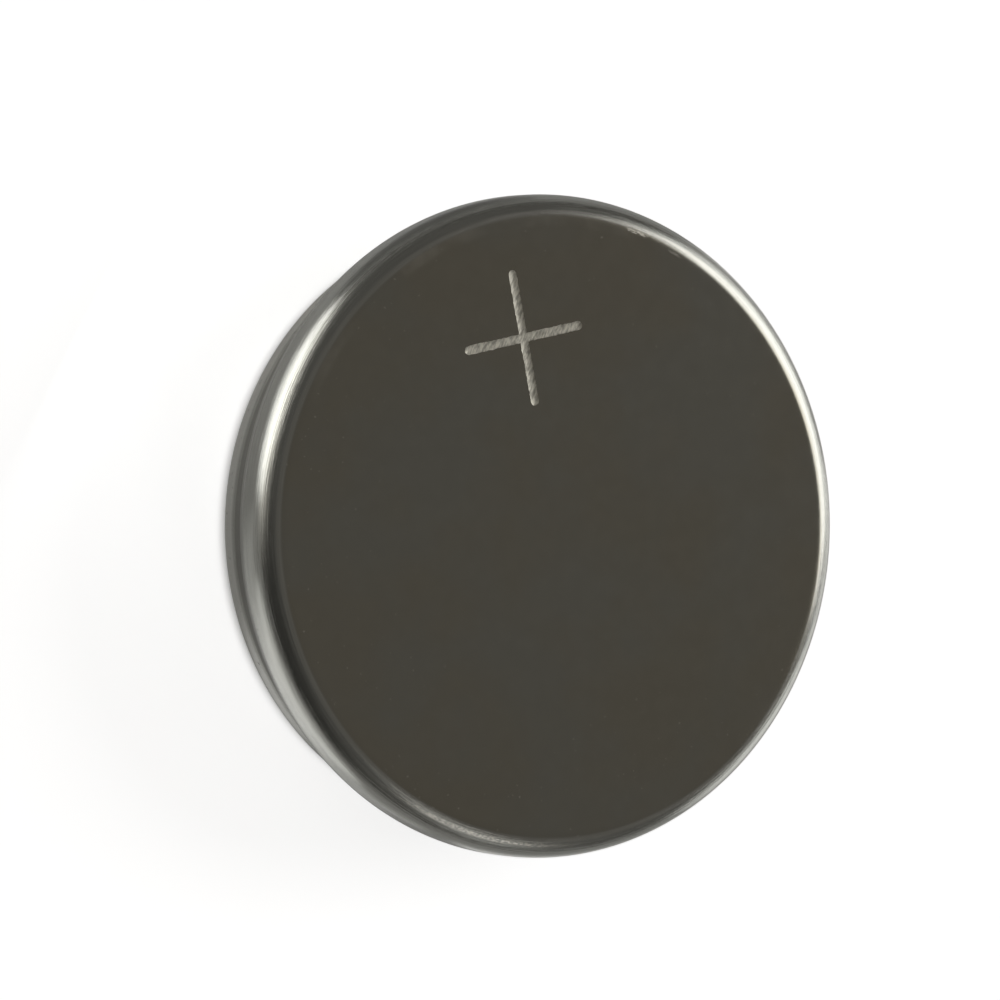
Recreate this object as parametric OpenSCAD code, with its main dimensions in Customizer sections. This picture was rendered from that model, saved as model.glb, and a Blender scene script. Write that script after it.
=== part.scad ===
// Lithium coin cell: a crimped steel can, a sealing gasket and a stepped cap around the cell's pack.
// The cell stands on its negative face at z = 0, with the positive face up and the axis on Z.
// Every piece is one revolved section, and the sheet pieces keep one thickness through their bends.

/* [Cell] */
// Diameter over the rim band
cell_d = 23; // [20:0.5:30]
// Height from the negative face to the positive face
cell_h = 5.4; // [5:0.1:8]

/* [Positive can] */
// Thickness of the can's sheet
can_t = 0.25; // [0.15:0.01:0.3]
// Outer radius of the bend around the positive face
face_bend_r = 0.75; // [0.4:0.05:1]
// Depth from the positive face to the lower edge of the rim band
band_h = 1.3; // [1.1:0.05:1.8]
// Radial width of the shoulder between the rim band and the waist
shoulder_w = 1; // [0.9:0.05:1.3]
// Slope of the shoulder, measured from the cell's axis
shoulder_angle = 45; // [38:1:50]
// Radius of both bends of the shoulder
shoulder_r = 1.3; // [0.8:0.05:1.4]
// Outer radius of the crimp
crimp_r = 0.7; // [0.6:0.05:0.9]
// Angle through which the crimp turns the wall inwards
crimp_angle = 115; // [100:1:125]
// Straight length of the lip past the crimp
lip_len = 0.2; // [0.1:0.05:0.4]
// Height of the crimp above the negative face
crimp_lift = 0.2; // [0.1:0.05:0.3]

/* [Negative cap] */
// Thickness of the cap's sheet
cap_t = 0.25; // [0.15:0.01:0.3]
// Outer radius of the bend around the negative face
cap_face_bend_r = 0.4; // [0.35:0.05:0.5]
// Inside radius of the corner between the cap's riser and its step
cap_fillet_r = 0.2; // [0.1:0.05:0.25]
// Outer radius of the bend between the step and the skirt
cap_step_bend_r = 0.45; // [0.35:0.05:0.6]

/* [Sealing gasket] */
// Thickness between the can's waist and the cap's skirt
gasket_wall_t = 0.35; // [0.3:0.05:0.5]
// Thickness pinched between the can's lip and the cap's step
gasket_pinch_t = 0.27; // [0.2:0.01:0.4]
// Width of the ring that shows between the lip and the cap
gasket_ring_w = 0.32; // [0.2:0.02:0.5]
// Thickness of the foot between the skirt's edge and the collector ring
gasket_foot_t = 0.5; // [0.3:0.05:0.7]
// Thickness of the lip inside the skirt
gasket_lip_t = 0.3; // [0.2:0.05:0.4]
// Share of the skirt's straight inside that the lip covers
gasket_lip_share = 0.45; // [0.2:0.05:0.8]

/* [Collector ring] */
// Thickness of the ring's sheet
ring_t = 0.25; // [0.15:0.01:0.3]
// Outer radius of the ring's bend
ring_bend_r = 0.4; // [0.35:0.05:0.6]
// Margin between the ring's edge and the bend around the positive face
ring_margin = 0.05; // [0.02:0.01:0.2]
// Gap between the ring and the shoulder that holds it
ring_gap = 0.02; // [0.01:0.01:0.05]

/* [Electrodes] */
// Thickness of the lithium disc
lithium_t = 1.3; // [0.8:0.05:1.6]
// Margin between the lithium disc and the bend around the negative face
lithium_margin = 0.1; // [0.05:0.05:0.5]
// Thickness of the separator
separator_t = 0.2; // [0.1:0.05:0.3]
// Outer radius of the bend between the separator's floor and its rim
separator_bend_r = 0.35; // [0.3:0.05:0.5]
// Gap around the separator's rim
separator_gap = 0.05; // [0.02:0.01:0.1]

/* [Hidden] */
$fn = 180;
// Straight steps in each bend of a section
bend_steps = 10;

steel = [0.47, 0.47, 0.44];
cap_steel = [0.72, 0.72, 0.70];
nylon = [0.16, 0.16, 0.17];
collector_steel = [0.62, 0.62, 0.60];
manganese = [0.10, 0.10, 0.11];
fleece = [0.93, 0.93, 0.90];
lithium = [0.78, 0.79, 0.80];

// Points are [radius, height]. A path runs along one face of a sheet and has a bend radius for
// each corner. The sheet lies on its left for t > 0 and on its right for t < 0.
function unit(v) = v / norm(v);
function left_of(v) = [-v.y, v.x];
function turn(a, b, c) = let (u = unit(b - a), v = unit(c - b)) atan2(cross(u, v), u * v);

// One bend of the path, or of the face that lies the distance t to its left
function bend(a, b, c, r, t) =
    let (
        angle = turn(a, b, c),
        side = sign(angle),
        start = b - unit(b - a) * r * tan(abs(angle) / 2),
        centre = start + side * r * left_of(unit(b - a)),
        spoke = unit(start - centre) * (r - side * t)
    )
    [for (i = [0 : bend_steps])
        let (turned = angle * i / bend_steps)
        centre + [
            spoke.x * cos(turned) - spoke.y * sin(turned),
            spoke.x * sin(turned) + spoke.y * cos(turned)
        ]];

function face(path, radii, t = 0) =
    let (
        last = len(path) - 1,
        first_dir = unit(path[1] - path[0]),
        last_dir = unit(path[last] - path[last - 1])
    )
    concat(
        [path[0] + t * left_of(first_dir)],
        [for (i = [1 : last - 1]) each bend(path[i - 1], path[i], path[i + 1], radii[i - 1], t)],
        [path[last] + t * left_of(last_dir)]
    );

function reversed(points) = [for (i = [len(points) - 1 : -1 : 0]) points[i]];
function sheet(path, radii, t) = concat(face(path, radii), reversed(face(path, radii, t)));

// The can: its face, the rim band, the shoulder, the waist and the crimped lip
cell_r = cell_d / 2;
floor_z = cell_h - can_t;
waist_r = cell_r - shoulder_w;
shoulder_tangent = shoulder_r * tan(shoulder_angle / 2);
shoulder_top_z = cell_h - band_h - shoulder_tangent;
shoulder_low_z = shoulder_top_z - shoulder_w / tan(shoulder_angle);
waist_top_z = shoulder_low_z - shoulder_tangent;
crimp_tangent = crimp_r * tan(crimp_angle / 2);
crimp_corner = [waist_r, crimp_lift + crimp_r - crimp_tangent];
lip_dir = [-sin(crimp_angle), -cos(crimp_angle)];
can_path = [
    [0, cell_h],
    [cell_r, cell_h],
    [cell_r, shoulder_top_z],
    [waist_r, shoulder_low_z],
    crimp_corner,
    crimp_corner + lip_dir * (crimp_tangent + lip_len)
];
can_radii = [face_bend_r, shoulder_r, shoulder_r, crimp_r];
can_inside = face(can_path, can_radii, -can_t);
lip_outer = can_path[len(can_path) - 1];
lip_inner = can_inside[len(can_inside) - 1];

// The collector ring stands on the can's floor, and the shoulder closes under its bend
ring_r = cell_r - face_bend_r - ring_margin;
ring_centre_r = ring_r - ring_bend_r;
shoulder_arc = [waist_r + shoulder_r, waist_top_z];
shoulder_arc_end = shoulder_arc + (shoulder_r + can_t) * [-cos(shoulder_angle), sin(shoulder_angle)];
ring_reach = ring_bend_r + ring_gap;
ring_on_arc_z = shoulder_arc.y
    + sqrt(pow(shoulder_r + can_t + ring_reach, 2) - pow(shoulder_arc.x - ring_centre_r, 2));
ring_on_slope_z = shoulder_arc_end.y
    + (ring_reach + (ring_centre_r - shoulder_arc_end.x) * cos(shoulder_angle)) / sin(shoulder_angle);
ring_z = max(ring_on_arc_z, ring_on_slope_z) - ring_bend_r;

// The cap: its face fills the lip's opening, and its skirt stands in the gasket's groove
skirt_r = waist_r - can_t - gasket_wall_t;
skirt_in_r = skirt_r - cap_t;
skirt_top_z = ring_z - gasket_foot_t;
cap_face_r = lip_outer.x - gasket_ring_w;
cap_step_z = lip_inner.y + gasket_pinch_t;
cap_path = [
    [0, 0],
    [cap_face_r, 0],
    [cap_face_r, cap_step_z],
    [skirt_r, cap_step_z],
    [skirt_r, skirt_top_z]
];
cap_radii = [cap_face_bend_r, cap_fillet_r, cap_step_bend_r];

// The gasket's lip, the separator's rim and the pellet's neck lie one inside the other
gasket_in_r = skirt_in_r - gasket_lip_t;
gasket_lip_z = skirt_top_z - gasket_lip_share * (skirt_top_z - cap_step_z - cap_step_bend_r);
separator_r = gasket_in_r - separator_gap;
neck_r = separator_r - separator_t;
ring_path = [[neck_r, ring_z], [ring_r, ring_z], [ring_r, floor_z]];
ring_radii = [ring_bend_r];
lithium_r = cap_face_r - cap_face_bend_r - lithium_margin;
separator_z = cap_t + lithium_t;
separator_path = [[0, separator_z], [separator_r, separator_z], [separator_r, ring_z - separator_gap]];
separator_radii = [separator_bend_r];

module positive_can() {
    color(steel)
    rotate_extrude()
    polygon(sheet(can_path, can_radii, -can_t));
}

module negative_cap() {
    color(cap_steel)
    rotate_extrude()
    polygon(sheet(cap_path, cap_radii, cap_t));
}

// The space inside the can, down to the lip's edge
module can_cavity() {
    polygon(concat([[0, floor_z]], can_inside, [lip_outer, [0, lip_outer.y]]));
}

// The cap and the space inside it, less the lip that stands inside the skirt
module cap_envelope() {
    polygon(concat(
        face(cap_path, cap_radii),
        [
            [skirt_in_r, skirt_top_z],
            [skirt_in_r, gasket_lip_z],
            [gasket_in_r, gasket_lip_z],
            [gasket_in_r, ring_z],
            [0, ring_z]
        ]
    ));
}

module sealing_gasket() {
    color(nylon)
    rotate_extrude()
    difference() {
        intersection() {
            can_cavity();
            square([cell_r, ring_z]);
        }
        cap_envelope();
    }
}

module collector_ring() {
    color(collector_steel)
    rotate_extrude()
    polygon(sheet(ring_path, ring_radii, ring_t));
}

// The pellet is pressed into the ring, and its neck fills the separator's dish
module cathode_pellet() {
    color(manganese)
    rotate_extrude()
    polygon(concat(
        face(separator_path, separator_radii, separator_t),
        face(ring_path, ring_radii, ring_t),
        [[0, floor_z]]
    ));
}

module separator() {
    color(fleece)
    rotate_extrude()
    polygon(sheet(separator_path, separator_radii, separator_t));
}

module lithium_disc() {
    color(lithium)
    translate([0, 0, cap_t])
    cylinder(r = lithium_r, h = lithium_t);
}

positive_can();
negative_cap();
sealing_gasket();
collector_ring();
cathode_pellet();
separator();
lithium_disc();
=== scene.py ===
import math
from functools import cached_property

import bmesh
import bpy
from mathutils import Matrix, Vector, noise
from mathutils.geometry import delaunay_2d_cdt


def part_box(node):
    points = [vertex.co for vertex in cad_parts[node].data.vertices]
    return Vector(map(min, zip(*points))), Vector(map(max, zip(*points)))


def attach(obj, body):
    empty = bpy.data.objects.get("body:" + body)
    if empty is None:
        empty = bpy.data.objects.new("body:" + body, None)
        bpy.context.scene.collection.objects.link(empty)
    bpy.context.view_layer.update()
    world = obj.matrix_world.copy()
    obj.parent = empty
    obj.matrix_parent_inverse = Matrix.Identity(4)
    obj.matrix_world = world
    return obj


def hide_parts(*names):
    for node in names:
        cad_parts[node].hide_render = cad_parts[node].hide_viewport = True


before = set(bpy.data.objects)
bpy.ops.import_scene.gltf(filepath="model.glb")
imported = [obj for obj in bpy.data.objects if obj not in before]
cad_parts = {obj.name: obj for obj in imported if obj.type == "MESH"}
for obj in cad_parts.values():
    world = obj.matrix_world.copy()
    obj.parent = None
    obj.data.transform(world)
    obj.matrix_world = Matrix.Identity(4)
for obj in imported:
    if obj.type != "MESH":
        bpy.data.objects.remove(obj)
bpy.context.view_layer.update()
MM = 0.001

# Driving sizes: the cell's own from the frame, the sheet's bends as in the part
can_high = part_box("positive_can")[1]
CELL_R = can_high.x
CELL_H = can_high.z
CAN_T = 0.25 * MM
FACE_BEND_R = 0.75 * MM
BAND_H = 1.3 * MM
SHOULDER_W = 1.0 * MM
SHOULDER_ANGLE = math.radians(45)
SHOULDER_R = 1.3 * MM
CRIMP_R = 0.7 * MM
CRIMP_ANGLE = math.radians(115)
CRIMP_LIP = 0.2 * MM
CRIMP_LIFT = 0.2 * MM
CAP_T = 0.25 * MM
CAP_FACE_BEND_R = 0.4 * MM
CAP_FILLET_R = 0.2 * MM
CAP_STEP_BEND_R = 0.45 * MM
GASKET_WALL_T = 0.35 * MM
GASKET_PINCH_T = 0.27 * MM
GASKET_RING_W = 0.32 * MM
GASKET_LIP_T = 0.3 * MM
GASKET_LIP_SHARE = 0.45

# The bend around the positive face: the width that it takes, and how full it is (2 is a plain arc)
FACE_EASE = 0.95 * MM
FACE_FULLNESS = 2.25

# Finer steps than the CAD mesh has
SEGMENTS = 288
BEND_STEPS = 20
LEAST_BEND_STEPS = 4
SUPPORT = 0.03 * MM
LEAST_STRAIGHT = 3 * SUPPORT

# How near two points are one, and the triangulation's mode that keeps to the inside of an outline
NEAR = 1e-9
INSIDE_ONLY = 1

# Polarity sign, cut into the positive face by a laser
SIGN_CENTRE = Vector((0.005 * MM, 6.645 * MM))
SIGN_HALF = 2.37 * MM
SIGN_STROKE = 0.31 * MM
SIGN_DEPTH = 0.02 * MM
SIGN_EDGE = 0.035 * MM
SIGN_WOBBLE = 0.026 * MM
SIGN_WOBBLE_LENGTH = 0.12 * MM
SIGN_SIDE_STEPS = 24
SIGN_END_STEPS = 8
INSIDE_STROKE = 0.45 * SIGN_STROKE
LASER_ANGLE = math.radians(35)

# Camera, fitted to the photograph
VIEW_TILT = math.radians(29.48)
VIEW_TURN = math.radians(-1.13)
SIGN_TURN = math.radians(12.86)
VIEW_DISTANCE = 0.25
FACE_CENTRE_PX = (557.1, 526.6)
PX_PER_METRE = 28945
PICTURE_PX = 1000
SENSOR_MM = 36
CLIP_NEAR = 0.01
CLIP_FAR = 10

# Levels and sizes of what stands around the cell: sky, lamps, floor and flag
AROUND = 0.15
DARK_SIDE = 0.06
WINDOW = 2.2
SKY_TINT = (1.0, 0.97, 0.92, 1)
FAR = 0.6
FLOOR_R = 1.5
FLOOR_STEPS = 96
FLOOR_GAP = 0.02 * MM
FLOOR_WHITE = (0.9, 0.9, 0.9)
GLOW = 0.74
GLOW_IN_METAL = 0.08
GLOW_FADE = 0.6 * MM
FLAG_R = 11 * MM
FLAG_STEPS = 48
FLAG_AZIMUTH = 92
FLAG_DISTANCE = 24.5 * MM
FLAG_GREY = (0.5, 0.5, 0.5)

# Colours of the can's steel, with its painted sheen, painted highlights and painted shade
STEEL = (0.36, 0.35, 0.32)
SATIN_COOL = (0.357, 0.347, 0.3)
SATIN_WARM = (0.36, 0.336, 0.274)
BURNISHED_DARK = (0.335, 0.337, 0.31)
BURNISHED_PALE = (0.385, 0.387, 0.357)
# Painted sheen: the crimp and low waist are paler, standing for the brighter floor that they mirror
CRIMP_SHEEN = (0.54, 0.54, 0.51)
# Pale of the nicks, smudges and dust, and of the painted reflection ring and painted highlight streak
PALE_WEAR_AND_SHEEN = (0.75, 0.72, 0.64)
# Painted shade: the dark of the hollow under the rim, which stands for its shadow; the same dark marks the
# pits
SHADE_AND_PIT_DARK = (0.06, 0.058, 0.05)

# How strongly each kind of wear, painted highlight and painted shade shows on the can
# Painted reflection: the pale ring where the face starts to bend
RING_SHEEN = 0.22
SMUDGE_RUB = 0.3
DUST_RUB = 0.5
# Painted highlight: the streak in the bend at the lower left of the face
STREAK_HIGHLIGHT = 0.6
NICK_RUB = 0.55
SHORT_NICK_SHARE = 0.6
# Painted shade in the hollow under the rim
HOLLOW_PAINTED_SHADE = 0.76
PIT_TARNISH = 0.8
SHADE_AND_PITS_HIDE_METAL = 0.8
DULL_ROUGHNESS = 0.5


def left_of(heading):
    return Vector((-heading.y, heading.x))


def direction(azimuth, elevation):
    """A unit vector, with both angles in degrees in the row frame."""
    a = math.radians(azimuth)
    e = math.radians(elevation)
    return Vector((math.cos(a) * math.cos(e), math.sin(a) * math.cos(e), math.sin(e)))


def link(thing):
    bpy.context.scene.collection.objects.link(thing)


def make_camera():
    """The photograph's view: the face tilted to the right and the sign turned to the left."""
    normal = Vector((
        math.sin(VIEW_TILT) * math.cos(VIEW_TURN),
        math.sin(VIEW_TILT) * math.sin(VIEW_TURN),
        math.cos(VIEW_TILT),
    ))
    across = Vector((
        math.cos(VIEW_TILT) * math.cos(VIEW_TURN),
        math.cos(VIEW_TILT) * math.sin(VIEW_TURN),
        -math.sin(VIEW_TILT),
    ))
    up = normal.cross(across)
    row_x = across * math.cos(SIGN_TURN) + up * math.sin(SIGN_TURN)
    row_y = up * math.cos(SIGN_TURN) - across * math.sin(SIGN_TURN)
    to_row = Matrix((row_x, row_y, normal))
    face_centre = Vector((
        (FACE_CENTRE_PX[0] - PICTURE_PX / 2) / PX_PER_METRE,
        (PICTURE_PX / 2 - FACE_CENTRE_PX[1]) / PX_PER_METRE,
        -VIEW_DISTANCE,
    ))
    camera = bpy.data.objects.new("camera", bpy.data.cameras.new("camera"))
    camera.data.sensor_width = SENSOR_MM
    camera.data.lens = PX_PER_METRE * VIEW_DISTANCE * SENSOR_MM / PICTURE_PX
    camera.data.clip_start = CLIP_NEAR
    camera.data.clip_end = CLIP_FAR
    place = Vector((0, 0, CELL_H)) - to_row @ face_centre
    camera.matrix_world = Matrix.Translation(place) @ to_row.to_4x4()
    link(camera)
    bpy.context.scene.camera = camera


def bend(before, corner, after, radius, offset):
    """Points of one bend of a path, or of the face that lies the offset to its left."""
    come = (corner - before).normalized()
    go = (after - corner).normalized()
    angle = math.atan2(come.x * go.y - come.y * go.x, come.dot(go))
    side = math.copysign(1, angle)
    start = corner - come * radius * math.tan(abs(angle) / 2)
    centre = start + left_of(come) * side * radius
    spoke = (start - centre).normalized() * (radius - side * offset)
    steps = max(LEAST_BEND_STEPS, round(BEND_STEPS * abs(angle) / (math.pi / 2)))
    return [
        centre + Matrix.Rotation(angle * i / steps, 2) @ spoke
        for i in range(steps + 1)
    ]


def face_line(path, radii, offset=0.0):
    """One face of a bent sheet, as points of radius and height."""
    first = (path[1] - path[0]).normalized()
    last = (path[-1] - path[-2]).normalized()
    points = [path[0] + left_of(first) * offset]
    for i, radius in enumerate(radii, start=1):
        points += bend(path[i - 1], path[i], path[i + 1], radius, offset)
    points.append(path[-1] + left_of(last) * offset)
    return points


def eased_corner(corner):
    """The bend around the positive face, which starts and ends softly as pressed sheet does."""
    points = []
    for i in range(2 * BEND_STEPS + 1):
        turned = math.pi / 2 * i / (2 * BEND_STEPS)
        out = FACE_EASE * math.sin(turned) ** (2 / FACE_FULLNESS)
        down = FACE_EASE * (1 - math.cos(turned) ** (2 / FACE_FULLNESS))
        points.append(corner + Vector((out - FACE_EASE, -down)))
    return points


def supported(points, closed):
    """The same outline with a point near both ends of each long straight, so that flats stay flat."""
    ends = points[:1] if closed else []
    out = []
    for here, there in zip(points, points[1:] + ends):
        out.append(here)
        step = there - here
        if step.length > LEAST_STRAIGHT:
            out.append(here + step.normalized() * SUPPORT)
            out.append(there - step.normalized() * SUPPORT)
    return out if closed else out + points[-1:]


def ring_of(mesh, point):
    """The vertices that one section point makes as it turns around the axis."""
    if abs(point.x) < NEAR:
        return [mesh.verts.new((0, 0, point.y))]
    return [
        mesh.verts.new((
            point.x * math.cos(math.tau * i / SEGMENTS),
            point.x * math.sin(math.tau * i / SEGMENTS),
            point.y,
        ))
        for i in range(SEGMENTS)
    ]


def band_between(mesh, low, high):
    for i in range(SEGMENTS):
        j = (i + 1) % SEGMENTS
        corners = [low[i % len(low)], low[j % len(low)], high[j % len(high)], high[i % len(high)]]
        unique = list(dict.fromkeys(corners))
        if len(unique) > 2:
            mesh.faces.new(unique)


def revolve(mesh, points, closed=True):
    rings = [ring_of(mesh, p) for p in supported(points, closed)]
    pairs = list(zip(rings, rings[1:]))
    if closed:
        pairs.append((rings[-1], rings[0]))
    for low, high in pairs:
        if len(low) > 1 or len(high) > 1:
            band_between(mesh, low, high)
    return rings


def finish_piece(mesh, name, node, materials):
    """Turns the mesh into a piece that rides on the frame and stands for its CAD node."""
    bmesh.ops.recalc_face_normals(mesh, faces=mesh.faces)
    for face in mesh.faces:
        face.smooth = True
    data = bpy.data.meshes.new(name)
    mesh.to_mesh(data)
    mesh.free()
    piece = bpy.data.objects.new(name, data)
    link(piece)
    for material in materials:
        data.materials.append(material)
    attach(piece, "root")
    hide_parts(node)
    return piece


# Section of the can, as the part's source has it
WAIST_R = CELL_R - SHOULDER_W
FLAT_R = CELL_R - FACE_BEND_R
SHOULDER_TANGENT = SHOULDER_R * math.tan(SHOULDER_ANGLE / 2)
SHOULDER_TOP_Z = CELL_H - BAND_H - SHOULDER_TANGENT
SHOULDER_LOW_Z = SHOULDER_TOP_Z - SHOULDER_W / math.tan(SHOULDER_ANGLE)
CRIMP_TANGENT = CRIMP_R * math.tan(CRIMP_ANGLE / 2)
CRIMP_CORNER = Vector((WAIST_R, CRIMP_LIFT + CRIMP_R - CRIMP_TANGENT))
LIP_DIRECTION = Vector((-math.sin(CRIMP_ANGLE), -math.cos(CRIMP_ANGLE)))
CAN_PATH = [
    Vector((0, CELL_H)),
    Vector((CELL_R, CELL_H)),
    Vector((CELL_R, SHOULDER_TOP_Z)),
    Vector((WAIST_R, SHOULDER_LOW_Z)),
    CRIMP_CORNER,
    CRIMP_CORNER + LIP_DIRECTION * (CRIMP_TANGENT + CRIMP_LIP),
]
CAN_RADII = [FACE_BEND_R, SHOULDER_R, SHOULDER_R, CRIMP_R]
CAN_INSIDE = face_line(CAN_PATH, CAN_RADII, -CAN_T)

# Heights between which the wall gets painted shade, standing for the shadow in the hollow, from the start of
# the shoulder down the straight waist
SHADED_WAIST = 0.7 * MM
PAINTED_SHADE_TOP_Z = SHOULDER_TOP_Z + SHOULDER_TANGENT
PAINTED_SHADE_LOW_Z = SHOULDER_LOW_Z - SHOULDER_TANGENT - SHADED_WAIST

# Sections of the cap and the gasket, as the part's source has them
GASKET_TOP_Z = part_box("sealing_gasket")[1].z
SKIRT_TOP_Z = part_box("negative_cap")[1].z
SKIRT_R = WAIST_R - CAN_T - GASKET_WALL_T
SKIRT_IN_R = SKIRT_R - CAP_T
CAP_FACE_R = CAN_PATH[-1].x - GASKET_RING_W
CAP_STEP_Z = CAN_INSIDE[-1].y + GASKET_PINCH_T
GASKET_IN_R = SKIRT_IN_R - GASKET_LIP_T
GASKET_LIP_Z = SKIRT_TOP_Z - GASKET_LIP_SHARE * (SKIRT_TOP_Z - CAP_STEP_Z - CAP_STEP_BEND_R)
CAP_PATH = [
    Vector((0, 0)),
    Vector((CAP_FACE_R, 0)),
    Vector((CAP_FACE_R, CAP_STEP_Z)),
    Vector((SKIRT_R, CAP_STEP_Z)),
    Vector((SKIRT_R, SKIRT_TOP_Z)),
]
CAP_RADII = [CAP_FACE_BEND_R, CAP_FILLET_R, CAP_STEP_BEND_R]


def wobbled(point):
    """A point of the sign's outline, moved a little as the laser's edge is uneven."""
    seed = Vector((point.x, point.y, 0)) / SIGN_WOBBLE_LENGTH
    away = Vector((7, 3, 5))
    return point + SIGN_WOBBLE * Vector((noise.noise(seed), noise.noise(seed + away)))


def sign_outline(half_stroke, half_length):
    """The plus sign's outline: four arms with round ends, as points around its centre."""
    end = half_length - half_stroke
    arm = [
        Vector((half_stroke + (end - half_stroke) * i / SIGN_SIDE_STEPS, -half_stroke))
        for i in range(SIGN_SIDE_STEPS)
    ]
    arm += [
        Vector((end, 0)) + half_stroke * Vector((math.sin(a), -math.cos(a)))
        for a in (math.pi * i / SIGN_END_STEPS for i in range(SIGN_END_STEPS + 1))
    ]
    arm += [
        Vector((end + (half_stroke - end) * i / SIGN_SIDE_STEPS, half_stroke))
        for i in range(1, SIGN_SIDE_STEPS)
    ]
    turns = [Matrix.Rotation(quarter * math.pi / 2, 2) for quarter in range(4)]
    return [SIGN_CENTRE + wobbled(turn @ p) for turn in turns for p in arm]


def inside_sign(points, triangle):
    """True for a triangle in one of the sign's two strokes."""
    middle = sum((Vector(points[i]) for i in triangle), Vector((0, 0))) / 3 - SIGN_CENTRE
    return min(abs(middle.x), abs(middle.y)) < INSIDE_STROKE


def loop(count, first=0):
    """The edges of a closed line of points, as pairs of numbers from the first one on."""
    return [(first + i, first + (i + 1) % count) for i in range(count)]


def cut_sign(mesh, rim):
    """Fills the flat of the face around the sign, and sinks the sign's floor into it."""
    half = SIGN_STROKE / 2
    top_points = sign_outline(half, SIGN_HALF)
    low_points = sign_outline(half - SIGN_EDGE, SIGN_HALF - SIGN_EDGE)
    rim_points = [Vector(v.co.xy) for v in rim]
    count = len(rim)
    edges = loop(count) + loop(len(top_points), count)
    points, _, triangles, _, _, _ = delaunay_2d_cdt(
        rim_points + top_points, edges, [], INSIDE_ONLY, NEAR
    )
    verts = list(rim) + [mesh.verts.new((p.x, p.y, CELL_H)) for p in top_points]
    assert len(points) == len(verts), "two points of the face lie on each other"
    sign_set = set(range(count, len(verts)))
    for triangle in triangles:
        if not set(triangle) <= sign_set or not inside_sign(points, triangle):
            mesh.faces.new([verts[i] for i in triangle])
    floor = [mesh.verts.new((p.x, p.y, CELL_H - SIGN_DEPTH)) for p in low_points]
    ring_sheen = verts[count:]
    for i, j in loop(len(ring_sheen)):
        mesh.faces.new([ring_sheen[i], ring_sheen[j], floor[j], floor[i]]).material_index = 1
    inner = delaunay_2d_cdt(low_points, loop(len(low_points)), [], INSIDE_ONLY, NEAR)[2]
    for triangle in inner:
        mesh.faces.new([floor[i] for i in triangle]).material_index = 1
    for edge in mesh.edges:
        kinds = {face.material_index for face in edge.link_faces}
        if len(kinds) == 2:
            edge.smooth = False


def make_can():
    """The can as one bent sheet, with the sign cut into its face."""
    outside = eased_corner(CAN_PATH[1]) + face_line(CAN_PATH[1:], CAN_RADII[1:])[1:]
    flat_rim = Vector((CELL_R - FACE_EASE - SUPPORT, CELL_H))
    mesh = bmesh.new()
    rings = revolve(mesh, [flat_rim] + outside + CAN_INSIDE[::-1], closed=False)
    cut_sign(mesh, rings[0])
    finish_piece(mesh, "can_shell", "positive_can", [can_steel(), etched_steel()])


def make_cap():
    outside = face_line(CAP_PATH, CAP_RADII)
    inside = face_line(CAP_PATH, CAP_RADII, CAP_T)
    mesh = bmesh.new()
    revolve(mesh, outside + inside[::-1], closed=False)
    finish_piece(mesh, "cap_shell", "negative_cap", [cap_steel()])


def make_gasket():
    """The gasket fills the room between can and cap, and its lip stands inside the skirt."""
    cavity = [p for p in CAN_INSIDE if p.y < GASKET_TOP_Z and p.x > CAP_FACE_R]
    before = [p for p in CAN_INSIDE if p.y >= GASKET_TOP_Z][-1]
    share = (before.y - GASKET_TOP_Z) / (before.y - cavity[0].y)
    top_out = before + (cavity[0] - before) * share
    cap_face = face_line(CAP_PATH, CAP_RADII)
    mouth_z = CAN_PATH[-1].y
    riser_foot = Vector((CAP_FACE_R, mouth_z))
    cap_side = [p for p in cap_face if p.y > mouth_z and p.x > CAP_FACE_R - SUPPORT]
    section = [top_out] + cavity + [CAN_PATH[-1], riser_foot] + cap_side + [
        Vector((SKIRT_IN_R, SKIRT_TOP_Z)),
        Vector((SKIRT_IN_R, GASKET_LIP_Z)),
        Vector((GASKET_IN_R, GASKET_LIP_Z)),
        Vector((GASKET_IN_R, GASKET_TOP_Z)),
    ]
    mesh = bmesh.new()
    revolve(mesh, section)
    finish_piece(mesh, "gasket_ring", "sealing_gasket", [moulded_nylon()])


def feed(tree, socket, value):
    """Links another node's socket in, or sets the socket's own value."""
    if isinstance(value, bpy.types.NodeSocket):
        tree.links.new(value, socket)
    else:
        socket.default_value = value


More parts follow.
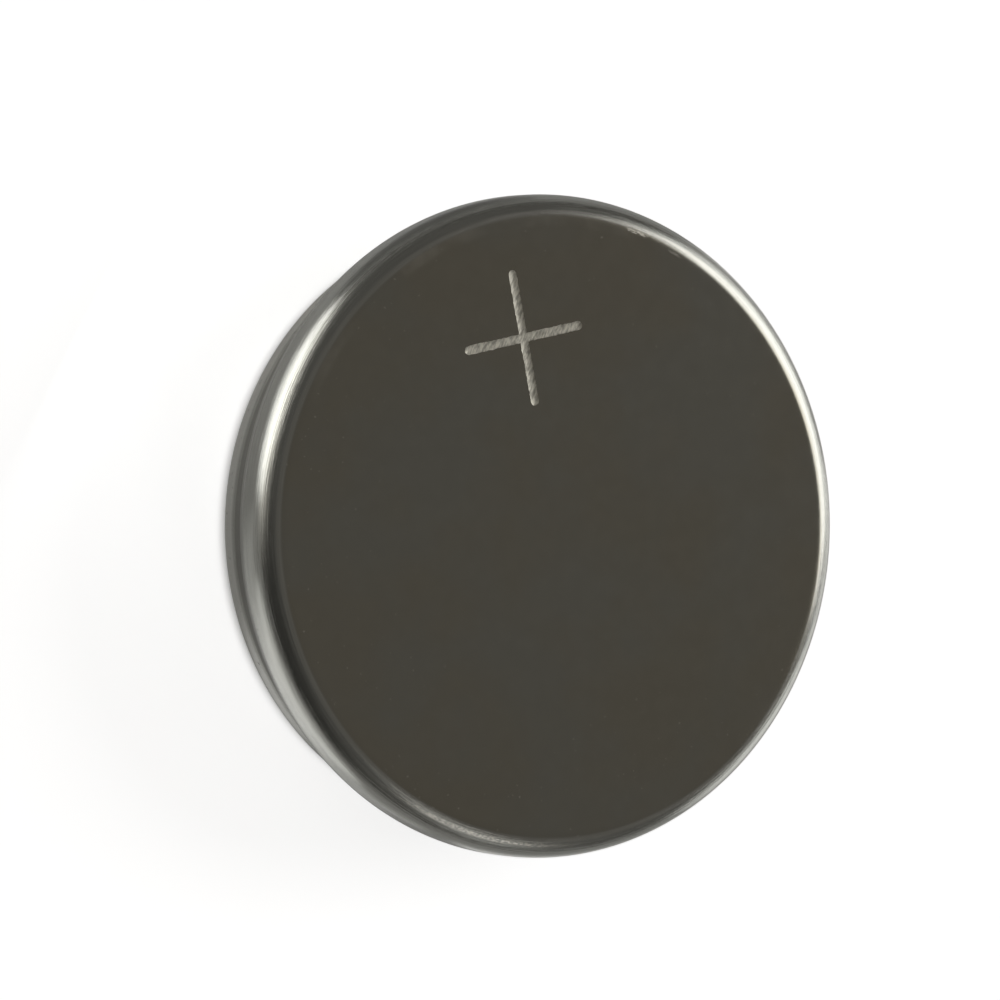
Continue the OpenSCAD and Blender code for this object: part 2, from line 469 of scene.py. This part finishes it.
class Finish:
    """A material's node tree, with short calls for the nodes that the finishes share."""

    def __init__(self, name, base, metallic, roughness, specular=0.5):
        self.material = bpy.data.materials.new(name)
        self.material.use_nodes = True
        self.tree = self.material.node_tree
        self.shader = self.tree.nodes["Principled BSDF"]
        self.place = self.node("ShaderNodeTexCoord").outputs["Object"]
        self.set(
            Base_Color=(*base, 1),
            Metallic=metallic,
            Roughness=roughness,
            Specular_IOR_Level=specular,
        )

    def node(self, kind):
        return self.tree.nodes.new(kind)

    def feed(self, socket, value):
        feed(self.tree, socket, value)

    def set(self, **inputs):
        for key, value in inputs.items():
            self.feed(self.shader.inputs[key.replace("_", " ")], value)
        return self.material

    @cached_property
    def axes(self):
        """The point's own X, Y and Z."""
        split = self.node("ShaderNodeSeparateXYZ")
        self.feed(split.inputs[0], self.place)
        return split.outputs

    @cached_property
    def height(self):
        return self.axes["Z"]

    @cached_property
    def distance(self):
        """How far a point lies from the cell's axis."""
        squares = [self.product(self.axes[axis], self.axes[axis]) for axis in "XY"]
        return self.calc("SQRT", self.calc("ADD", *squares))

    def calc(self, operation, *values):
        node = self.node("ShaderNodeMath")
        node.operation = operation
        for socket, value in zip(node.inputs, values):
            self.feed(socket, value)
        return node.outputs[0]

    def product(self, *values):
        result = values[0]
        for value in values[1:]:
            result = self.calc("MULTIPLY", result, value)
        return result

    def largest(self, *values):
        result = values[0]
        for value in values[1:]:
            result = self.calc("MAXIMUM", result, value)
        return result

    def opposite(self, value):
        return self.calc("SUBTRACT", 1.0, value)

    def ramp(self, value, low, high, to_low=0.0, to_high=1.0):
        """The value's stretch from low to high, spread smoothly from to_low to to_high."""
        node = self.node("ShaderNodeMapRange")
        node.interpolation_type = "SMOOTHSTEP"
        for key, fed in (("Value", value), ("From Min", low), ("From Max", high),
                         ("To Min", to_low), ("To Max", to_high)):
            self.feed(node.inputs[key], fed)
        return node.outputs["Result"]

    def window(self, value, middle, half, fade):
        """1 within the half width of the middle, and a smooth fall to 0 on both sides."""
        rise = self.ramp(value, middle - half - fade, middle - half)
        return self.product(rise, self.ramp(value, middle + half, middle + half + fade, 1.0, 0.0))

    def facing(self, azimuth, inner, outer):
        """1 within the inner degrees of an azimuth around the axis, and 0 beyond the outer ones."""
        along = direction(azimuth, 0)
        part_x = self.product(self.axes["X"], along.x)
        part_y = self.product(self.axes["Y"], along.y)
        share = self.calc("DIVIDE", self.calc("ADD", part_x, part_y), self.distance)
        return self.ramp(share, math.cos(math.radians(outer)), math.cos(math.radians(inner)))

    def around(self, per_turn, per_metre):
        """A vector that runs with the turn and down the section, for marks that go around the cell."""
        down = self.calc("SUBTRACT", self.distance, self.product(self.height, 2.0))
        join = self.node("ShaderNodeCombineXYZ")
        for axis in "XY":
            share = self.calc("DIVIDE", self.axes[axis], self.distance)
            self.feed(join.inputs[axis], self.product(share, per_turn))
        self.feed(join.inputs["Z"], self.product(down, per_metre))
        return join.outputs["Vector"]

    def mapped(self, vector, **inputs):
        node = self.node("ShaderNodeMapping")
        self.feed(node.inputs["Vector"], vector)
        for key, value in inputs.items():
            node.inputs[key].default_value = value
        return node.outputs["Vector"]

    def noise(self, scale=1.0, detail=3.0, roughness=0.55, stretch=None, vector=None):
        vector = vector or self.place
        if stretch:
            vector = self.mapped(vector, Scale=stretch)
        node = self.node("ShaderNodeTexNoise")
        self.feed(node.inputs["Vector"], vector)
        self.feed(node.inputs["Scale"], scale)
        self.feed(node.inputs["Detail"], detail)
        self.feed(node.inputs["Roughness"], roughness)
        return node.outputs["Fac"]

    def mix(self, factor, a, b):
        """One colour, or the other where the factor is 1."""
        node = self.node("ShaderNodeMix")
        node.data_type = "RGBA"
        self.feed(node.inputs["Factor"], factor)
        for socket, value in ((node.inputs[6], a), (node.inputs[7], b)):
            self.feed(socket, value if isinstance(value, bpy.types.NodeSocket) else (*value, 1))
        return node.outputs[2]

    def blend(self, factor, a, b):
        """One number, or the other where the factor is 1."""
        node = self.node("ShaderNodeMix")
        for socket, value in zip((node.inputs["Factor"], node.inputs[2], node.inputs[3]), (factor, a, b)):
            self.feed(socket, value)
        return node.outputs[0]

    def bump(self, height, strength, distance, under=None):
        node = self.node("ShaderNodeBump")
        self.feed(node.inputs["Strength"], strength)
        self.feed(node.inputs["Distance"], distance)
        self.feed(node.inputs["Height"], height)
        if under is not None:
            self.feed(node.inputs["Normal"], under)
        return node.outputs["Normal"]


def nicks_of(finish):
    """Two small nicks in the far border of the face."""
    chips = finish.ramp(finish.noise(detail=2, vector=finish.around(40, 16000)), 0.35, 0.6)
    long_nick = finish.product(
        finish.facing(61, inner=0.5, outer=3),
        finish.window(finish.distance, middle=FLAT_R - 0.06 * MM, half=0.02 * MM, fade=0.08 * MM),
    )
    short_nick = finish.product(
        finish.facing(52, inner=0, outer=1.8),
        finish.window(finish.distance, middle=FLAT_R - 0.17 * MM, half=0.0, fade=0.08 * MM),
    )
    nicks = finish.largest(long_nick, finish.product(short_nick, SHORT_NICK_SHARE))
    return finish.product(nicks, chips, NICK_RUB)


def wear_and_sheen_of(finish, on_top):
    """A painted reflection ring at the border of the face, smudges and a painted highlight streak along it,
    and dust on the face.
    """
    # Painted reflection: a pale ring where the flat face starts to bend
    ring_sheen = finish.window(finish.distance, middle=FLAT_R + 0.1 * MM, half=0.04 * MM, fade=0.08 * MM)
    smudges = finish.product(
        finish.window(finish.distance, middle=FLAT_R - 0.15 * MM, half=0.1 * MM, fade=0.2 * MM),
        finish.facing(100, inner=20, outer=50),
        finish.ramp(finish.noise(500, detail=3), 0.4, 0.75),
    )
    chatter = finish.noise(detail=2, vector=finish.around(90, 9000))
    # Painted highlight: a streaked pale band in the bend at the lower left
    highlight_streak = finish.product(
        finish.facing(242, inner=6, outer=24),
        finish.window(finish.distance, middle=FLAT_R + 0.27 * MM, half=0.03 * MM, fade=0.08 * MM),
        finish.ramp(chatter, 0.38, 0.58, to_low=0.15),
    )
    dust = finish.product(
        finish.ramp(finish.noise(6500, detail=1), 0.73, 0.78),
        finish.ramp(finish.distance, 4 * MM, FLAT_R, to_low=0.1),
        on_top,
    )
    return finish.largest(
        finish.product(ring_sheen, RING_SHEEN),
        finish.product(smudges, SMUDGE_RUB),
        finish.product(dust, DUST_RUB),
        finish.product(highlight_streak, STREAK_HIGHLIGHT),
    )


def painted_shade_and_pits_of(finish):
    """Painted shade: a dull dark coat in the hollow under the rim that stands for its shadow, and pits on the
    wall.
    """
    under = finish.ramp(finish.height, PAINTED_SHADE_TOP_Z - 0.4 * MM, PAINTED_SHADE_TOP_Z, 1.0, 0.0)
    above = finish.ramp(finish.height, PAINTED_SHADE_LOW_Z, PAINTED_SHADE_LOW_Z + 0.2 * MM)
    pits = finish.product(
        finish.ramp(finish.noise(4500, detail=2), 0.67, 0.76),
        finish.ramp(finish.height, SHOULDER_TOP_Z, CELL_H - FACE_BEND_R, 1.0, 0.0),
        PIT_TARNISH,
    )
    return finish.largest(finish.product(under, above, HOLLOW_PAINTED_SHADE), pits)


def can_steel():
    """Satin on the flat face, burnished on the bends and the wall, with painted shade in the hollow under the
    rim, a painted sheen on the crimp and painted highlights at the face's border.
    """
    finish = Finish("can_steel", STEEL, 1.0, 0.2)
    on_top = finish.ramp(finish.height, CELL_H - 0.06 * MM, CELL_H - 0.03 * MM)
    off_face = finish.ramp(finish.distance, FLAT_R - 0.06 * MM, FLAT_R + 0.1 * MM)
    burnished = finish.largest(off_face, finish.opposite(on_top))
    # Painted sheen on the crimp and the low waist, below the painted shade
    crimp_sheen = finish.ramp(finish.height, PAINTED_SHADE_LOW_Z - 0.15 * MM, PAINTED_SHADE_LOW_Z, 1.0, 0.0)
    nicks = nicks_of(finish)
    # Painted shade in the hollow under the rim, with the pits
    shade_and_pits = painted_shade_and_pits_of(finish)

    clouds = finish.ramp(finish.noise(180), 0.35, 0.65)
    grain = finish.noise(2500, detail=3)
    lines = finish.noise(detail=3, roughness=0.65, vector=finish.around(4, 9000))

    bright = finish.mix(finish.ramp(lines, 0.3, 0.7), BURNISHED_DARK, BURNISHED_PALE)
    bright = finish.mix(crimp_sheen, bright, CRIMP_SHEEN)
    base = finish.mix(burnished, finish.mix(clouds, SATIN_COOL, SATIN_WARM), bright)
    # Nicks, smudges and dust, with the painted reflection ring and painted highlight streak, turn pale
    base = finish.mix(finish.largest(nicks, wear_and_sheen_of(finish, on_top)), base, PALE_WEAR_AND_SHEEN)
    # Painted shade darkens the hollow under the rim; the pits darken too
    base = finish.mix(shade_and_pits, base, SHADE_AND_PIT_DARK)

    satin_rough = finish.ramp(grain, 0.2, 0.8, to_low=0.14, to_high=0.17)
    bright_rough = finish.ramp(lines, 0.2, 0.8, to_low=0.18, to_high=0.26)
    roughness = finish.blend(burnished, satin_rough, bright_rough)
    roughness = finish.blend(finish.largest(shade_and_pits, nicks), roughness, DULL_ROUGHNESS)
    fine = finish.bump(grain, strength=0.05, distance=0.001 * MM)
    normal = finish.bump(lines, finish.product(burnished, 0.5), distance=0.024 * MM, under=fine)
    # The painted shade also takes the metal away, so that the hollow mirrors less
    metal = finish.opposite(finish.product(shade_and_pits, SHADE_AND_PITS_HIDE_METAL))
    return finish.set(Base_Color=base, Metallic=metal, Roughness=roughness, Normal=normal)


def etched_steel():
    """The frosted floor that the laser leaves, with its slanting passes."""
    finish = Finish("etched_steel", (0.62, 0.6, 0.53), 1.0, 0.6)
    slant = finish.mapped(finish.place, Rotation=(0, 0, LASER_ANGLE))
    passes = finish.noise(detail=2, stretch=(11000, 3000, 1), vector=slant)
    base = finish.mix(finish.ramp(passes, 0.32, 0.62), (0.35, 0.335, 0.285), (0.7, 0.675, 0.59))
    return finish.set(Base_Color=base, Normal=finish.bump(passes, 0.7, 0.015 * MM))


def cap_steel():
    """Fine satin with straight lines from the rolling mill."""
    finish = Finish("cap_steel", (0.45, 0.44, 0.41), 1.0, 0.3)
    lines = finish.noise(stretch=(400, 9000, 400))
    base = finish.mix(finish.ramp(lines, 0.3, 0.7), (0.42, 0.41, 0.38), (0.48, 0.47, 0.44))
    roughness = finish.ramp(lines, 0.2, 0.8, to_low=0.22, to_high=0.36)
    return finish.set(Base_Color=base, Roughness=roughness, Normal=finish.bump(lines, 0.2, 0.002 * MM))


def moulded_nylon():
    """The gasket's black plastic, matt and slightly grained."""
    finish = Finish("moulded_nylon", (0.03, 0.03, 0.035), 0.0, 0.6)
    grain = finish.noise(2500, detail=4)
    base = finish.mix(grain, (0.025, 0.025, 0.03), (0.04, 0.04, 0.045))
    return finish.set(Base_Color=base, Normal=finish.bump(grain, 0.3, 0.01 * MM))


def inner_finish(name, light, dark, metallic, roughness, scale=1.0, stretch=None):
    """A plain procedural finish for what the sealed can holds."""
    finish = Finish(name, light, metallic, roughness)
    grain = finish.noise(scale, detail=5, stretch=stretch)
    base = finish.mix(finish.ramp(grain, 0.3, 0.7), dark, light)
    rough = finish.ramp(grain, 0.2, 0.8, roughness - 0.08, min(1, roughness + 0.08))
    return finish.set(Base_Color=base, Roughness=rough, Normal=finish.bump(grain, 0.4, 0.01 * MM))


def dress_inside():
    """Each CAD node inside the cell keeps its shape and gets its own finish."""
    finishes = {
        "collector_ring": inner_finish(
            "rolled_steel", light=(0.5, 0.49, 0.46), dark=(0.42, 0.41, 0.39),
            metallic=1.0, roughness=0.3, stretch=(800, 800, 12000),
        ),
        "cathode_pellet": inner_finish(
            "pressed_manganese", light=(0.025, 0.025, 0.027), dark=(0.014, 0.014, 0.016),
            metallic=0.0, roughness=0.85, scale=4000,
        ),
        "separator": inner_finish(
            "bonded_fleece", light=(0.85, 0.85, 0.81), dark=(0.74, 0.74, 0.7),
            metallic=0.0, roughness=0.9, stretch=(9000, 2500, 9000),
        ),
        "lithium_disc": inner_finish(
            "rolled_lithium", light=(0.64, 0.65, 0.67), dark=(0.54, 0.55, 0.57),
            metallic=1.0, roughness=0.45, stretch=(500, 6000, 500),
        ),
    }
    for node, material in finishes.items():
        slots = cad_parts[node].data.materials
        slots.clear()
        slots.append(material)


def make_disc(name, radius, steps, place):
    """A flat round piece of the stage."""
    mesh = bmesh.new()
    bmesh.ops.create_circle(mesh, cap_ends=True, segments=steps, radius=radius)
    data = bpy.data.meshes.new(name)
    mesh.to_mesh(data)
    mesh.free()
    disc = bpy.data.objects.new(name, data)
    disc.location = place
    link(disc)
    return disc


def make_floor():
    """A pale floor. Its glow makes the white background, and fades out under the cell to keep the shadow."""
    floor = make_disc("floor", FLOOR_R, FLOOR_STEPS, Vector((0, 0, -FLOOR_GAP)))
    finish = Finish("floor_white", FLOOR_WHITE, 0.0, 0.9, specular=0.0)
    rays = finish.node("ShaderNodeLightPath").outputs
    mirrored = finish.largest(rays["Is Glossy Ray"], rays["Is Transmission Ray"])
    glow = finish.calc(
        "ADD",
        finish.product(mirrored, GLOW_IN_METAL),
        finish.product(rays["Is Camera Ray"], GLOW),
    )
    open_floor = finish.ramp(finish.distance, WAIST_R - GLOW_FADE, WAIST_R)
    floor.data.materials.append(finish.set(
        Emission_Color=(1, 1, 1, 1),
        Emission_Strength=finish.product(glow, open_floor),
    ))


def make_flag():
    """A grey card beside the cell that darkens what the far side of the rim mirrors."""
    place = direction(FLAG_AZIMUTH, 0) * FLAG_DISTANCE
    place.z = -FLOOR_GAP / 2
    flag = make_disc("flag", FLAG_R, FLAG_STEPS, place)
    flag.visible_camera = False
    flag.visible_diffuse = False
    flag.visible_shadow = False
    flag.data.materials.append(Finish("flag_grey", FLAG_GREY, 0.0, 0.9, specular=0.0).material)


def span(distance, degrees):
    """The width that covers an angle as seen from a distance."""
    return 2 * distance * math.tan(math.radians(degrees) / 2)


def softbox(name, azimuth, elevation, distance, width, height, level, lean=None):
    """A soft oval panel of even level, unseen by the camera. It faces the cell, or leans by its own angle."""
    light = bpy.data.lights.new(name, "AREA")
    light.shape = "ELLIPSE"
    light.size = width
    light.size_y = height
    area = width * height * (math.pi / 4)
    light.energy = level * math.pi * area
    panel = bpy.data.objects.new(name, light)
    back = direction(azimuth, elevation if lean is None else lean)
    along = direction(azimuth + 90, 0)
    turn = Matrix((along, back.cross(along), back)).transposed()
    middle = Vector((0, 0, CELL_H / 2)) + direction(azimuth, elevation) * distance
    panel.matrix_world = Matrix.Translation(middle) @ turn.to_4x4()
    panel.visible_camera = False
    link(panel)


def make_lights():
    """Far panels make the gleams on the right of the rim, near ones those on the left and along the floor."""
    for name, azimuth, elevation, degrees_wide, degrees_high, level in (
        ("key", 2.8, 28.2, 38.5, 42.5, 2.25),
        ("key_foot", 6, 3, 38, 26, 0.95),
        ("side", 324, 10, 22, 28, 0.55),
        ("top_side", 277, 36, 20, 42, 0.62),
    ):
        softbox(name, azimuth, elevation, FAR, span(FAR, degrees_wide), span(FAR, degrees_high), level)
    for name, azimuth, elevation, mm_away, mm_wide, mm_high, level, lean in (
        ("low_left", 138.5, 5, 24, 20, 16, 2.45, -55),
        ("low_right", 329, 2, 28, 28, 20, 1.0, -50),
        ("near_right", 10, -8.2, 18.2, 18, 9, 0.42, -90),
        ("near_front", 278, -10.9, 13.8, 14, 5, 0.5, -90),
        ("bounce", 204, -8.5, 18, 16, 10, 0.85, -90),
        ("foot", 205, -11.5, 12.9, 22, 4, 0.3, -90),
    ):
        softbox(name, azimuth, elevation, mm_away * MM, mm_wide * MM, mm_high * MM, level, lean)


def make_world():
    """A dim studio: one soft window low on the left, and the darkest part above and beside it."""
    world = bpy.data.worlds.new("studio")
    world.use_nodes = True
    tree = world.node_tree
    bpy.context.scene.world = world
    place = tree.nodes.new("ShaderNodeTexCoord").outputs["Generated"]
    level = AROUND
    for azimuth, elevation, inner, outer, there in (
        (195, 25, 25, 55, DARK_SIDE),
        (140, 6, 0, 42, WINDOW),
    ):
        toward = tree.nodes.new("ShaderNodeVectorMath")
        toward.operation = "DOT_PRODUCT"
        feed(tree, toward.inputs[0], place)
        feed(tree, toward.inputs[1], direction(azimuth, elevation))
        angle = tree.nodes.new("ShaderNodeMath")
        angle.operation = "ARCCOSINE"
        feed(tree, angle.inputs[0], toward.outputs["Value"])
        spread = tree.nodes.new("ShaderNodeMapRange")
        spread.interpolation_type = "SMOOTHSTEP"
        feed(tree, spread.inputs["Value"], angle.outputs[0])
        feed(tree, spread.inputs["From Min"], math.radians(inner))
        feed(tree, spread.inputs["From Max"], math.radians(outer))
        feed(tree, spread.inputs["To Min"], there)
        feed(tree, spread.inputs["To Max"], level)
        level = spread.outputs["Result"]
    sky = tree.nodes["Background"]
    feed(tree, sky.inputs["Strength"], level)
    feed(tree, sky.inputs["Color"], SKY_TINT)


make_camera()
make_can()
make_cap()
make_gasket()
dress_inside()
make_floor()
make_flag()
make_lights()
make_world()
bpy.context.scene.view_settings.view_transform = "Standard"
